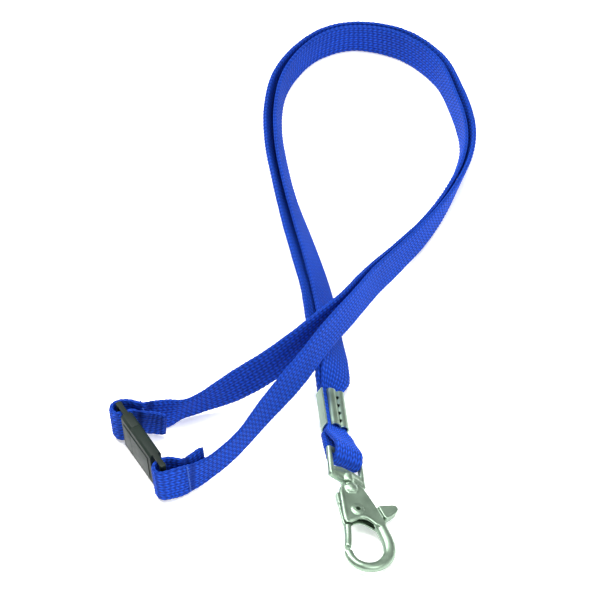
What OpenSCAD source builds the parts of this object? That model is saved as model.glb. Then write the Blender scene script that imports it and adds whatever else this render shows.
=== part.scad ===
// Neck lanyard with breakaway clasp and swivel trigger hook, laid down on a table.
// Millimetres, +Z up, table at Z = 0. Both strap runs stand on their lower edge.

/* [Strap] */
// Width of the flattened tube strap
strap_w = 12; // [10:0.5:15]
// Thickness of one strap layer
strap_t = 1.4; // [1:0.1:2]
// Strap width where it is gathered into the clasp windows
gathered_w = 11.6; // [10:0.1:12]

/* [Crimp] */
// Length of the folded metal crimp
crimp_len = 15.8; // [12:0.2:20]
// Outside width of the crimp
crimp_w = 7.9; // [7.5:0.1:13]
// Sheet thickness of the crimp
crimp_sheet = 0.45; // [0.3:0.05:0.8]
// Width of the strap where the crimp gathers it
crimped_w = 6.8; // [6.5:0.1:12]
// Thickness of one gathered strap layer
crimped_t = 1.6; // [1.4:0.05:2.2]

/* [Clasp] */
// Distance between the two strap bars of the clasp
bar_span = 29.6; // [26:0.2:34]
// Height of the clasp across the strap
clasp_h = 13.4; // [13:0.1:15]
// Thickness of the clasp body
clasp_t = 3.8; // [3:0.1:5]
// Where the two halves meet, measured from the near bar
clasp_seam = 18.4; // [15:0.2:21]

/* [Hook] */
// Clear width of the swivel eye
eye_clear = 10.5; // [10.3:0.1:14]
// Thickness of the hook casting
hook_t = 3.4; // [2.8:0.1:4]
// Thickness of the gate plate inside the hook slot
gate_t = 1.2; // [0.8:0.1:1.6]

/* [Hidden] */
$fn = 48;
strap_blue = [0.09, 0.27, 0.82];
thread_blue = [0.06, 0.18, 0.60];
nickel = [0.74, 0.75, 0.72];
clasp_black = [0.10, 0.12, 0.11];
spring_steel = [0.55, 0.56, 0.55];

// The whole layout is moved so its box stands centred on the origin.
layout_shift = [-1.2, 2.2, 0];

// Routes from crimp to clasp: x, y, height of the lower edge, outward lean in degrees, width.
outer_route = [
    [11.56, -66.2, 1.04, 60, 6.8], [10.47, -54.9, 1.04, 60, 6.8], [9.98, -49.8, 1.04, 60, 6.8],
    [10.5, -46, 0.8, 52, 9.6], [10.6, -42, 0.6, 44, 12], [9.8, -33, 0.4, 36, 12],
    [7.5, -24, 0.2, 38, 12], [5.8, -8, 0.2, 38, 12], [2.6, 8, 0.2, 36, 12], [-1, 25, 0.2, 32, 12],
    [-4.6, 43, 0.2, 24, 12], [-7.4, 61, 0.2, 19, 12], [-8.4, 79, 0.2, 10, 12],
    [-6.1, 95.5, 0.2, 2, 12], [0.8, 109.2, 0.2, -5, 12], [9.8, 117.8, 0.2, -9, 12],
    [21.2, 120.6, 0.2, -10, 12], [35.8, 116, 0.2, -4, 12], [47.6, 103.2, 0.2, 1, 12],
    [53.6, 86.5, 0.2, 2, 12], [57, 69.5, 0.2, 6, 12], [55.8, 54.5, 0.2, 11, 12],
    [49.4, 37.5, 0.4, 10, 12], [41.7, 22.2, 1.6, 7, 12], [33.2, 7.2, 3.6, 3, 12],
    [25, -7.8, 6.8, 0, 12], [17.6, -23.8, 10, -2, 12], [9.8, -38.2, 11.6, -3, 12],
    [1.2, -52.2, 9.5, -5, 12], [-8.8, -65.2, 6, 0, 12], [-17.6, -77.3, 2.8, 8, 12],
    [-26.8, -86.2, 0.8, 10, 12], [-34.1, -90.9, 0.3, 1, 12]
];
inner_route = [
    [12.44, -66.2, 2.58, 60, 6.8], [11.35, -54.9, 2.58, 60, 6.8], [10.86, -49.8, 2.58, 60, 6.8],
    [11.7, -46, 2.1, 52, 9.6], [12.3, -42, 1.4, 45, 12], [12.5, -33, 0.5, 36, 12],
    [11.1, -24, 0.2, 36, 12], [9, -8, 0.2, 36, 12], [6, 8, 0.2, 34, 12], [2.2, 25, 0.2, 29, 12],
    [-1.8, 43, 0.2, 21, 12], [-4.5, 61, 0.2, 16, 12], [-5.5, 79, 0.2, 7, 12],
    [-3.5, 95, 0.2, -1, 12], [2.6, 108, 0.2, -6, 12], [10.5, 115.8, 0.2, -9, 12],
    [21, 118.6, 0.2, -10, 12], [34.6, 114.2, 0.2, -4, 12], [45.8, 102, 0.2, 1, 12],
    [51.2, 85.5, 0.2, 2, 12], [54, 68.5, 0.2, 6, 12], [52, 53.3, 0.2, 16, 12],
    [46.2, 36.5, 0.4, 15, 12], [39, 21, 1.6, 11, 12], [30.2, 6, 3.6, 6, 12],
    [21.6, -8.5, 6.6, 3, 12], [14, -23.5, 9.8, 1, 12], [4, -36.2, 10.2, -2, 12],
    [-6.5, -45.4, 7, -8, 12], [-18, -51.4, 3.2, -2, 12], [-28.5, -56.2, 1, 12, 12],
    [-35.9, -59.6, 0.4, 6, 12]
];
route_steps = 2;

crimp_mid = [11.25, -58.4, 4.2];
crimp_turn = 5.5;
crimp_roll = 30;

hook_point = [15.6, -92.3, 7.6];
hook_turn = 13;
hook_pitch = 8;
hook_roll = 15;
eye_turn = 4.5;
eye_roll = 40;
bar_back = 10.4;
eye_rod = 0.85;
bar_r = 0.9;
rivet_at = [0, -11.9];
slot_t = 2.2;

// Folded loops at the clasp bars, seen along the bars, from the strap run to the free tail.
near_fold = [
    [2.7, -3.1], [0.9, -2.9], [-1.1, -2.5], [-2.4, -1.5], [-2.75, 0], [-2.3, 1.6], [-0.9, 2.6],
    [1, 2.9], [3, 2.3], [4.7, 0.8], [6.3, -0.6], [8, -0.5], [10, -0.1], [12, 0.5], [14.1, 1.4]
];
far_fold = [
    [15, 26], [12, 26.5], [9, 27], [6, 27.7], [3.8, 30], [1.3, 31.7], [-0.8, 31.8], [-2.3, 30.9],
    [-2.75, 29.4], [-2.2, 27.6], [-0.5, 26.8], [2, 26.3], [4, 26.1], [6, 26], [8.5, 24.9], [11, 22.9]
];
// Hook fold: distance past the crimp, sideways offset.
hook_fold = [
    [0.15, 0.85], [3, 1.1], [7, 1.8], [11, 2.5], [15, 2.7], [18, 2.3], [19.8, 1.4], [20.3, 0],
    [19.8, -1.4], [18, -2.3], [15, -2.7], [11, -2.5], [7, -1.8], [3, -1.1], [0.15, -0.85]
];
fold_from = [12.02, -66.4, 4.2];
fold_reach = 16.6;
fold_w = 9.8;
fold_lean = 54;

clasp_at = [-38.5, -90, 0.25];
clasp_turn = 27;
clasp_lean = -6;
bar_w = 2;
bar_t = 1.8;
window_w = 3.8;
rail = 0.75;
prong_len = 10;

// ---- helpers ----
function mix(a, b, u) = a + (b - a) * u;
function curve_at(a, b, c, d, u) = 0.5 * (2 * b + (c - a) * u
    + (2 * a - 5 * b + 4 * c - d) * u * u + (3 * b - a - 3 * c + d) * u * u * u);
function smooth_open(p, n) = let (m = len(p) - 1) [
    for (i = [0 : m - 1], k = [0 : n - 1])
        curve_at(p[max(i - 1, 0)], p[i], p[i + 1], p[min(i + 2, m)], k / n), p[m]];
function smooth_closed(p, n) = let (m = len(p)) [
    for (i = [0 : m - 1], k = [0 : n - 1])
        curve_at(p[(i + m - 1) % m], p[i], p[(i + 1) % m], p[(i + 2) % m], k / n)];
function unit(v) = v / norm(v);

// Eight corner points of a strap section: distance across the width, distance through it.
function strap_section(w, t) = let (c = 0.4) [
    [w / 2 - c, t / 2], [w / 2, t / 2 - c], [w / 2, c - t / 2], [w / 2 - c, -t / 2],
    [c - w / 2, -t / 2], [-w / 2, c - t / 2], [-w / 2, t / 2 - c], [c - w / 2, t / 2]];

// A gathered strap is thicker.
function layer_t(w) = mix(strap_t, crimped_t, (strap_w - w) / (strap_w - crimped_w));

// Rings are lists of [centre, width direction, thickness direction, width].
module swept_strap(rings) {
    sides = 8;
    last = len(rings) - 1;
    points = [for (r = rings) for (s = strap_section(r[3], layer_t(r[3]))) r[0] + s[0] * r[1] + s[1] * r[2]];
    walls = [for (i = [0 : last - 1], k = [0 : sides - 1])
        let (a = i * sides + k, b = i * sides + (k + 1) % sides) [a, a + sides, b + sides, b]];
    first_cap = [for (k = [0 : sides - 1]) k];
    last_cap = [for (k = [sides - 1 : -1 : 0]) last * sides + k];
    polyhedron(points, concat(walls, [first_cap, last_cap]));
}

function standing_height(lift, lean, w) =
    lift + w / 2 * cos(lean) + layer_t(w) / 2 * sin(abs(lean));
function run_rings(route) =
    let (p = smooth_open(route, route_steps), m = len(p) - 1) [
    for (i = [0 : m])
        let (a = p[max(i - 1, 0)], b = p[min(i + 1, m)], d = unit([b[0] - a[0], b[1] - a[1]]),
            out = [-d[1], d[0], 0], up = [0, 0, 1], lean = p[i][3])
        [[p[i][0], p[i][1], standing_height(p[i][2], lean, p[i][4])],
            cos(lean) * up + sin(lean) * out, cos(lean) * out - sin(lean) * up, p[i][4]]];

// A flat strip standing on a plan path, with its ends square to the path.
module strip(path, t, h) {
    m = len(path) - 1;
    side = [for (i = [0 : m]) let (d = unit(path[min(i + 1, m)] - path[max(i - 1, 0)]))
        [-d[1], d[0]] * t / 2];
    linear_extrude(height = h)
        polygon(concat([for (i = [0 : m]) path[i] + side[i]], [for (i = [m : -1 : 0]) path[i] - side[i]]));
}

module on_crimp() {
    translate(crimp_mid) rotate([0, 0, crimp_turn]) rotate([0, crimp_roll, 0]) children();
}
module on_hook() {
    translate(hook_point) rotate([0, 0, hook_turn]) rotate([hook_pitch, 0, 0])
        rotate([0, hook_roll, 0]) children();
}
module on_eye() {
    translate(hook_point) rotate([0, 0, eye_turn]) rotate([hook_pitch, 0, 0])
        rotate([0, eye_roll, 0]) children();
}
module on_clasp() {
    translate(clasp_at) rotate([0, 0, clasp_turn]) rotate([0, clasp_lean, 0]) children();
}

// ---- strap pieces ----
module outer_run() { color(strap_blue) swept_strap(run_rings(outer_route)); }
module inner_run() { color(strap_blue) swept_strap(run_rings(inner_route)); }

// The strap folds through the swivel eye, twisting from the crimp to the bar.
module hook_fold_strap() {
    p = smooth_open(hook_fold, 2);
    m = len(p) - 1;
    bar_mid = hook_point + bar_back * [
        -sin(eye_turn) * cos(hook_pitch), cos(eye_turn) * cos(hook_pitch), sin(hook_pitch)];
    ahead = unit(bar_mid - fold_from);
    start = [sin(crimp_turn), -cos(crimp_turn), 0];
    beyond = unit(hook_point - bar_mid);
    right = [cos(eye_turn), sin(eye_turn), 0];
    rings = [for (i = [0 : m])
        let (s = p[i][0], lean = mix(90 - crimp_roll, fold_lean, min(s / fold_reach, 1)),
            d = s < fold_reach ? unit(mix(start, ahead, min(s / 5, 1))) : beyond,
            n = unit(cross(d, cos(lean) * cross(right, d) + sin(lean) * right)),
            w = unit(cross(n, d)),
            c = s < fold_reach ? fold_from + s * ahead : bar_mid + (s - fold_reach) * beyond,
            step = p[min(i + 1, m)] - p[max(i - 1, 0)], g = unit(step))
        [c + p[i][1] * n, w, g[0] * n - g[1] * d, mix(crimped_w, fold_w, min(s / 4, 1))]];
    color(strap_blue) swept_strap(rings);
}
module fold_strip(path) {
    translate([0, 0, (clasp_h - gathered_w) / 2]) strip(smooth_open(path, 3), strap_t, gathered_w);
}
module near_strap_end() { color(strap_blue) on_clasp() fold_strip(near_fold); }
module far_strap_end() { color(strap_blue) on_clasp() fold_strip(far_fold); }

// One row of thread stitches standing on a strap face in the clasp frame.
module stitch_row(at, turn) {
    for (k = [0 : 6]) translate([at[0], at[1], 1.9 + k * 1.6]) rotate([0, 0, turn])
        cube([0.5, 0.2, 1.1], center = true);
}
module near_stitching() {
    color(thread_blue) on_clasp() {
        stitch_row([6.3, -3.95], 6);
        stitch_row([6.6, 0.18], -20);
    }
}
module far_stitching() {
    color(thread_blue) on_clasp() {
        stitch_row([5.78, 25.17], -15);
        stitch_row([6.44, 28.46], -30);
    }
}

// ---- crimp ----
// Section across the strap: x along the width (closed edge at +x), z through the layers.
module crimp() {
    edge = crimp_w / 2 - crimp_sheet;
    half = crimped_t + 0.15;
    hump = half + 0.4;
    path = [
        [0.4 - edge, half], [0.2 - edge, half - 0.1], [-edge, half - 0.5], [-edge, 0.5 - half],
        [0.5 - edge, -half], [edge - 0.5, -half], [edge, 0.5 - half], [edge, half - 0.3],
        [edge - 0.4, hump - 0.1], [1.7, hump], [1.2, half], [0.6, half], [0.1, hump], [-1.4, hump],
        [-2, half + 0.05]
    ];
    color(nickel) on_crimp() difference() {
        translate([0, crimp_len / 2, 0]) rotate([90, 0, 0]) sheet_fold(path);
        for (k = [0 : 3]) translate([0.9, (k - 1.5) * 3.4, half + crimp_sheet + 0.15]) sphere(r = 0.45);
    }
}
// Folded sheet: the path is its inner face, the metal lies outside it.
module sheet_fold(path) {
    m = len(path) - 1;
    outer = [for (i = [0 : m])
        let (d = unit(path[min(i + 1, m)] - path[max(i - 1, 0)])) path[i] + crimp_sheet * [d[1], -d[0]]];
    linear_extrude(height = crimp_len)
        polygon(concat(path, [for (i = [m : -1 : 0]) outer[i]]));
}

// ---- swivel eye ----
module swivel_eye() {
    arm_x = eye_clear / 2 + eye_rod;
    color(nickel) {
        on_eye() {
            translate([-arm_x, bar_back, 0]) rotate([0, 90, 0]) cylinder(r = bar_r, h = 2 * arm_x);
            for (side = [-1, 1]) {
                translate([side * arm_x, bar_back, 0]) sphere(r = bar_r);
                translate([side * arm_x, 1.2, 0]) rotate([-90, 0, 0])
                    cylinder(r = eye_rod, h = bar_back - 1.2);
                translate([side * (arm_x - 0.5), 1.2, 0]) sphere(r = 1.35);
                translate([side * (arm_x - 0.5), 1.2, 0]) rotate([0, side * -90, 0])
                    cylinder(r = 1.35, h = arm_x - 0.5);
            }
            translate([0, 0.1, 0]) rotate([-90, 0, 0]) cylinder(r1 = 2, r2 = 2.2, h = 3);
        }
        on_hook() {
            translate([0, -2.8, 0]) rotate([-90, 0, 0]) cylinder(r = 1.1, h = 4);
            translate([0, -3.7, 0]) rotate([-90, 0, 0]) cylinder(r = 1.7, h = 1);
        }
    }
}

// ---- hook casting ----
hook_outside = [
    [-3.3, -2.2], [3.3, -2.2], [4.3, -3.8], [5.4, -6.8], [6.7, -10.7], [8, -15.6], [9.2, -20],
    [9.4, -24.2], [8.3, -27.5], [6.2, -30.4], [3.3, -32.9], [0, -34.1], [-3, -33.8],
    [-5.4, -32.1], [-6.9, -29.4], [-7.1, -26], [-5.15, -26.8], [-4.6, -29.1], [-2.8, -30.8],
    [-0.4, -31.2], [2.2, -30.4], [4.2, -28.5], [5.4, -25.6], [5.4, -22], [4.6, -18.6], [3.5, -16.4],
    [2.2, -15.3], [0.6, -14.9], [-1.4, -15.3], [-2.8, -16.4], [-4.9, -16.6], [-4.7, -12],
    [-4.1, -7.5], [-3.7, -4]
];
module hook_body() {
    color(nickel) on_hook() difference() {
        union() {
            translate([0, 0, -hook_t / 2]) linear_extrude(height = hook_t)
                polygon(smooth_closed(hook_outside, 3));
            translate([0, -5, 0]) rotate([-90, 0, 0]) cylinder(r = 2.7, h = 2.7);
            translate([0, -2.3, 0]) rotate([-90, 0, 0]) cylinder(r1 = 2.7, r2 = 2.3, h = 0.4);
        }
        translate([0, -2.6, 0]) rotate([-90, 0, 0]) cylinder(r = 1.17, h = 3);
        translate([0, -3.8, 0]) rotate([-90, 0, 0]) cylinder(r = 1.8, h = 1.2);
        translate([-9, -17.4, -slot_t / 2]) cube([14.6, 13.2, slot_t]);
        translate([-9, -15.2, -slot_t / 2]) cube([20, 10.2, slot_t]);
        translate([rivet_at[0], rivet_at[1], -4]) cylinder(r = 1.04, h = 8);
    }
}
module gate_rivet() {
    color(nickel) on_hook() translate([rivet_at[0], rivet_at[1], 0]) difference() {
        union() {
            cylinder(r = 1, h = hook_t + 0.1, center = true);
            for (side = [-1, 1]) translate([0, 0, side * (hook_t / 2 + 0.22)])
                cylinder(r = 1.8, h = 0.4, center = true);
        }
        cylinder(r = 0.55, h = 8, center = true);
    }
}
module gate_spring() {
    z = gate_t / 2 + 0.26;
    color(spring_steel) on_hook() translate([rivet_at[0], rivet_at[1], z]) {
        rotate_extrude() translate([1.7, 0]) circle(r = 0.18, $fn = 16);
        translate([-1.7, -0.1, 0]) rotate([0, -90, 0]) cylinder(r = 0.18, h = 1.6, $fn = 16);
    }
}

// ---- gate lever ----
gate_plate = [
    [-4.6, -4.8], [-1.2, -5.4], [2, -8.6], [5.2, -9.9], [7.3, -10.2], [8.3, -14.3], [5.4, -14.6],
    [2.6, -14.3], [0, -14], [-2.2, -14.8], [-3, -16.4], [-3.4, -18.4], [-4.8, -18.4],
    [-5.2, -15.6], [-5.1, -12], [-4.9, -8]
];
gate_arm = [
    [-5.2, -17], [-3.1, -17], [-3.7, -20.6], [-4.4, -23.6], [-5.2, -26.3], [-6.8, -25.65], [-6.3, -23.4],
    [-5.8, -20.2]
];
thumb_pad = [
    [7, -10.2], [9.8, -9.9], [12.6, -9.9], [13.3, -10.7], [12.9, -12], [11.2, -13.4], [8.9, -14.8],
    [8.1, -14.2]
];
module gate_lever() {
    color(nickel) on_hook() difference() {
        union() {
            translate([0, 0, -gate_t / 2]) linear_extrude(height = gate_t) polygon(gate_plate);
            translate([0, 0, -1.3]) linear_extrude(height = 2.6) polygon(gate_arm);
            translate([0, 0, -1.4]) linear_extrude(height = 2.8) polygon(smooth_closed(thumb_pad, 3));
        }
        translate([rivet_at[0], rivet_at[1], -4]) cylinder(r = 1.06, h = 8);
    }
}

// ---- breakaway clasp, drawn from the near bar along +y ----
module clasp_block(from, to) {
    x = clasp_t / 2;
    cut = 0.7;
    translate([0, to, 0]) rotate([90, 0, 0]) linear_extrude(height = to - from) polygon([
        [cut - x, 0], [x - cut, 0], [x, cut], [x, clasp_h - cut], [x - cut, clasp_h],
        [cut - x, clasp_h], [-x, clasp_h - cut], [-x, cut]]);
}
module clasp_bar(y) {
    translate([-bar_t / 2 + 0.5, y - bar_w / 2, 0]) cube([bar_t - 1, bar_w, clasp_h]);
    translate([-bar_t / 2, y - bar_w / 2 + 0.5, 0]) cube([bar_t, bar_w - 1, clasp_h]);
}
module clasp_rails(from, to) {
    for (z = [0, clasp_h - rail]) translate([-0.8, from, z]) cube([1.6, to - from, rail]);
}
module stepped_panel(from, to) {
    for (side = [-1, 1]) translate([side * clasp_t / 2, (from + to) / 2, clasp_h / 2])
        cube([0.5, to - from, clasp_h - 5], center = true);
}
module female_clasp() {
    body_from = bar_w / 2 + window_w;
    color(clasp_black) on_clasp() difference() {
        union() {
            clasp_block(body_from, clasp_seam);
            stepped_panel(body_from + 2, clasp_seam);
            clasp_bar(0);
            clasp_rails(-bar_w / 2, body_from + 0.5);
        }
        translate([-1.1, clasp_seam - prong_len - 0.6, 2.9]) cube([2.2, prong_len + 1, clasp_h - 5.8]);
    }
}
module male_clasp() {
    body_to = bar_span - bar_w / 2 - window_w;
    from = clasp_seam + 0.12;
    color(clasp_black) on_clasp() {
        clasp_block(from, body_to);
        stepped_panel(from, body_to - 1.4);
        clasp_bar(bar_span);
        clasp_rails(body_to - 0.5, bar_span + bar_w / 2);
        difference() {
            translate([-0.95, clasp_seam - prong_len, 3.1]) cube([1.9, prong_len + 0.5, clasp_h - 6.2]);
            translate([-2, clasp_seam - prong_len - 1, clasp_h / 2 - 1]) cube([4, prong_len - 1.5, 2]);
        }
    }
}

translate(layout_shift) {
    outer_run();
    inner_run();
    hook_fold_strap();
    near_strap_end();
    far_strap_end();
    near_stitching();
    far_stitching();
    crimp();
    swivel_eye();
    hook_body();
    gate_rivet();
    gate_spring();
    gate_lever();
    female_clasp();
    male_clasp();
}
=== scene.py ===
"""Neck lanyard with a pull-apart clasp and a swivel trigger hook: the visible model around its frame."""

import math

import bmesh
import bpy
import numpy as np
from mathutils import Matrix, Vector


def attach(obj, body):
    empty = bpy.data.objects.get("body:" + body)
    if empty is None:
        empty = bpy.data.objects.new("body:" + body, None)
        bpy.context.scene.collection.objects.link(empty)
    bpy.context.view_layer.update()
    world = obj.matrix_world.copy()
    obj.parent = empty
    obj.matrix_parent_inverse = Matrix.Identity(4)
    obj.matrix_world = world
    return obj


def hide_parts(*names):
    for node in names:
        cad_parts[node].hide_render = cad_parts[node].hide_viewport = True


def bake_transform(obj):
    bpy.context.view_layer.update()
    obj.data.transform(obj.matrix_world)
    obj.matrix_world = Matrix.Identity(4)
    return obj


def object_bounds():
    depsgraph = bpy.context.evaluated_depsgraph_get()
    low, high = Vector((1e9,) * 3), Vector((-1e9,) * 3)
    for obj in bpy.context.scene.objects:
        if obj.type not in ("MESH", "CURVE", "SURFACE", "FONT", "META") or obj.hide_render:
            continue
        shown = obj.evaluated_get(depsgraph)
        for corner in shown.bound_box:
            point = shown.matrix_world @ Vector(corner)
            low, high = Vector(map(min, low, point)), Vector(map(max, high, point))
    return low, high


bl_info = {
    "name": "Neck lanyard",
    "version": (1, 0, 0),
    "blender": (4, 5, 0),
    "location": "View3D > Sidebar > Lanyard",
    "description": "Builds a woven neck lanyard with its clasp and hook",
    "category": "Object",
}

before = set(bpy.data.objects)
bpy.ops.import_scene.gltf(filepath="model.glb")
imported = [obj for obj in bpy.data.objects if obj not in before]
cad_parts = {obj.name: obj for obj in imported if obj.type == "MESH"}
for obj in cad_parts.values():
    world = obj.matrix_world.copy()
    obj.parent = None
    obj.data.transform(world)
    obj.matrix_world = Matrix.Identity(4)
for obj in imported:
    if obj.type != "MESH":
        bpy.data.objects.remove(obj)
CAD_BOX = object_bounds()

MM = 0.001
SHIFT = Vector((-1.2, 2.2, 0.0))  # the layout's place, millimetres

# Strap routes from crimp to clasp: x, y, height of the lower edge, outward lean in degrees, width.
OUTER_ROUTE = [
    (11.56, -66.2, 1.04, 60, 6.8), (10.47, -54.9, 1.04, 60, 6.8), (9.98, -49.8, 1.04, 60, 6.8),
    (10.5, -46, 0.8, 52, 9.6), (10.6, -42, 0.6, 44, 12), (9.8, -33, 0.4, 36, 12), (7.5, -24, 0.2, 38, 12),
    (5.8, -8, 0.2, 38, 12), (2.6, 8, 0.2, 36, 12), (-1, 25, 0.2, 32, 12), (-4.6, 43, 0.2, 24, 12),
    (-7.4, 61, 0.2, 19, 12), (-8.4, 79, 0.2, 10, 12), (-6.1, 95.5, 0.2, 2, 12), (0.8, 109.2, 0.2, -5, 12),
    (9.8, 117.8, 0.2, -9, 12), (21.2, 120.6, 0.2, -10, 12), (35.8, 116, 0.2, -4, 12), (47.6, 103.2, 0.2, 1, 12),
    (53.6, 86.5, 0.2, 2, 12), (56.2, 69.4, 0.2, 10, 12), (54.2, 54.3, 0.2, 19, 12), (48.6, 37.3, 0.4, 14, 12),
    (41.7, 22.2, 1.6, 7, 12), (33.2, 7.2, 3.6, 3, 12), (25, -7.8, 6.8, 0, 12), (17.6, -23.8, 10, -2, 12),
    (9.8, -38.2, 11.6, -3, 12), (1.2, -52.2, 9.5, -5, 12), (-8.8, -65.2, 6, 0, 12), (-17.6, -77.3, 2.8, 8, 12),
    (-26.8, -86.2, 0.8, 10, 12), (-34.1, -90.9, 0.3, 1, 12),
]
INNER_ROUTE = [
    (12.44, -66.2, 2.58, 60, 6.8), (11.35, -54.9, 2.58, 60, 6.8), (10.86, -49.8, 2.58, 60, 6.8),
    (11.7, -46, 2.1, 52, 9.6), (12.3, -42, 1.4, 45, 12), (12.5, -33, 0.5, 36, 12), (11.1, -24, 0.2, 36, 12),
    (9, -8, 0.2, 36, 12), (6, 8, 0.2, 34, 12), (2.2, 25, 0.2, 29, 12), (-1.8, 43, 0.2, 21, 12),
    (-4.5, 61, 0.2, 16, 12), (-5.5, 79, 0.2, 7, 12), (-3.5, 95, 0.2, -1, 12), (2.6, 108, 0.2, -6, 12),
    (10.5, 115.8, 0.2, -9, 12), (21, 118.6, 0.2, -10, 12), (34.6, 114.2, 0.2, -4, 12), (45.8, 102, 0.2, 1, 12),
    (51.2, 85.5, 0.2, 2, 12), (54, 68.5, 0.2, 6, 12), (52, 53.3, 0.2, 16, 12), (46.2, 36.5, 0.4, 15, 12),
    (39, 21, 1.6, 11, 12), (30.2, 6, 3.6, 6, 12), (21.6, -8.5, 6.6, 3, 12), (14, -23.5, 9.8, 1, 12),
    (4, -36.2, 10.2, -2, 12), (-6.5, -45.4, 7, -8, 12), (-18, -51.4, 3.2, -2, 12), (-28.5, -56.2, 0.7, 17, 12),
    (-35.9, -59.6, 0.3, 24, 12),
]
# Sewn loops round the clasp bars, seen along the bars, in the clasp's own frame; the free end comes last.
NEAR_FOLD = [
    (2.7, -3.1), (0.9, -2.9), (-1.1, -2.5), (-2.4, -1.5), (-2.75, 0), (-2.3, 1.6), (-0.9, 2.6), (1, 2.9),
    (3, 2.3), (4.7, 0.8), (6.3, -0.6), (8, -0.5), (10, -0.1), (12, 0.5), (14.1, 1.4),
]
FAR_FOLD = [
    (15, 26), (12, 26.5), (9, 27), (6, 27.7), (3.8, 30), (1.3, 31.7), (-0.8, 31.8), (-2.3, 30.9),
    (-2.75, 29.4), (-2.2, 27.6), (-0.5, 26.8), (2, 26.3), (4, 26.1), (6, 26), (8.5, 24.9), (11, 22.9),
]
# Loop through the swivel eye: distance past the crimp, sideways offset.
HOOK_FOLD = [
    (-0.5, 0.85), (3, 0.95), (7, 1.2), (11, 1.75), (15, 2.35), (18, 2.2), (19.8, 1.4), (20.3, 0),
    (19.8, -1.4), (18, -2.2), (15, -2.35), (11, -1.95), (7, -1.4), (3, -0.95), (-0.5, -0.85),
]
FOLD_FROM = Vector((12.02, -66.4, 4.2))
FOLD_REACH = 16.6
FOLD_W, FOLD_LEAN = 9.8, 54
# Sewn bands: distance past the end of the run, half width, depth share; the depth share also sets the painted
# shade of the band.
NEAR_BANDS = [(-3.7, 0.8, 1.0), (21.4, 0.8, 1.0)]
FAR_BANDS = [(9.4, 0.8, 0.9), (31.5, 1.0, 1.0)]
# The far strap sags towards the clasp, and its free end slumps over.
FAR_SAG, FAR_SLUMP = 2.6, 14

STRAP_W = 12.0
STRAP_T = 1.4
LOOP_W = STRAP_W - 0.4
FREE_SHARE = 0.6  # of a sewn loop's rows, before its free end
CRIMPED_W, CRIMPED_T = 6.8, 1.6
CRIMP_MID = Vector((11.25, -58.4, 4.2))
CRIMP_TURN, CRIMP_ROLL = 5.5, 30
CRIMP_LEN, CRIMP_W, CRIMP_SHEET = 15.8, 7.9, 0.45
HOOK_POINT = Vector((15.6, -92.3, 7.6))
HOOK_TURN, HOOK_PITCH, HOOK_ROLL = 13, 8, 15
EYE_TURN, EYE_ROLL = 4.5, 40
BAR_BACK = 10.4
CLASP_AT = Vector((-38.5, -90, 0.25))
CLASP_TURN, CLASP_LEAN = 27, -6
CLASP_H = 13.4


# ---- settings a user would change ----
class StrapSettings(bpy.types.PropertyGroup):
    """Sizes and colours of the woven strap."""

    rib_count: bpy.props.IntProperty(
        name="Ribs", description="Knitted ribs across one face of the strap", default=5, min=3, max=7)
    stitch: bpy.props.FloatProperty(
        name="Stitch", description="Length of one stitch along a rib",
        default=0.00165, unit="LENGTH", precision=5)
    relief: bpy.props.FloatProperty(
        name="Relief", description="Depth of the valleys between ribs",
        default=0.00024, unit="LENGTH", precision=5)
    blue: bpy.props.FloatVectorProperty(
        name="Blue", description="Colour of the yarn", subtype="COLOR", size=3,
        default=(0.012, 0.089, 0.70))
    # Painted shade: the dark blue the strap colour takes in the valleys between the yarns and in the sewn
    # grooves; the thread is mixed from it too.
    painted_shade_blue: bpy.props.FloatVectorProperty(
        name="Painted shade blue", description="Colour between the yarns", subtype="COLOR", size=3,
        default=(0.0015, 0.007, 0.10))
    run_length: bpy.props.FloatProperty(
        name="Run length", description="Length of one run from crimp to sewn end",
        default=0.455, unit="LENGTH")


class HardwareSettings(bpy.types.PropertyGroup):
    """Finish of the plated metal parts."""

    nickel: bpy.props.FloatVectorProperty(
        name="Nickel", description="Colour of the satin plating", subtype="COLOR", size=3,
        default=(0.42, 0.565, 0.43))
    # Painted shade laid into the hollows of the plating.
    painted_hollow_shade: bpy.props.FloatVectorProperty(
        name="Hollow shade", description="Colour in the plating's hollows", subtype="COLOR", size=3,
        default=(0.09, 0.135, 0.098))
    voxel: bpy.props.FloatProperty(
        name="Casting grain", description="Cell size that merges the cast shapes",
        default=0.00016, unit="LENGTH", precision=5)


class ClaspSettings(bpy.types.PropertyGroup):
    """Finish of the moulded clasp."""

    plastic: bpy.props.FloatVectorProperty(
        name="Plastic", description="Colour of the moulded halves", subtype="COLOR", size=3,
        default=(0.004, 0.0085, 0.006))
    round_edge: bpy.props.FloatProperty(
        name="Round", description="Radius of the moulded edges",
        default=0.00022, unit="LENGTH", precision=5)


class StageSettings(bpy.types.PropertyGroup):
    """Camera, light and floor."""

    lens: bpy.props.FloatProperty(name="Lens", description="Focal length in millimetres", default=351.56)
    height: bpy.props.FloatProperty(
        name="Elevation", description="Angle of the camera over the table", default=math.radians(42),
        subtype="ANGLE")
    distance: bpy.props.FloatProperty(
        name="Distance", description="From the camera to the lanyard", default=1.8, unit="LENGTH")
    floor: bpy.props.FloatVectorProperty(
        name="Table", description="Colour of the table", subtype="COLOR", size=3, default=(0.93, 0.93, 0.93))
    glow: bpy.props.FloatProperty(name="Table glow", description="Light from the light table", default=0.4)
    sky: bpy.props.FloatProperty(name="Room light", description="Even light from all round", default=0.35)


SETTINGS = (
    ("lanyard_strap", StrapSettings), ("lanyard_hardware", HardwareSettings),
    ("lanyard_clasp", ClaspSettings), ("lanyard_stage", StageSettings),
)


# ---- placing ----
def turned(axis, degrees):
    return Matrix.Rotation(math.radians(degrees), 4, axis)


def placed(at, *turns):
    """A frame in millimetres at a layout point, as a matrix that gives metres."""
    m = Matrix.Scale(MM, 4) @ Matrix.Translation(at + SHIFT)
    for t in turns:
        m = m @ t
    return m


def hook_frame():
    return placed(HOOK_POINT, turned("Z", HOOK_TURN), turned("X", HOOK_PITCH), turned("Y", HOOK_ROLL))


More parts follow.
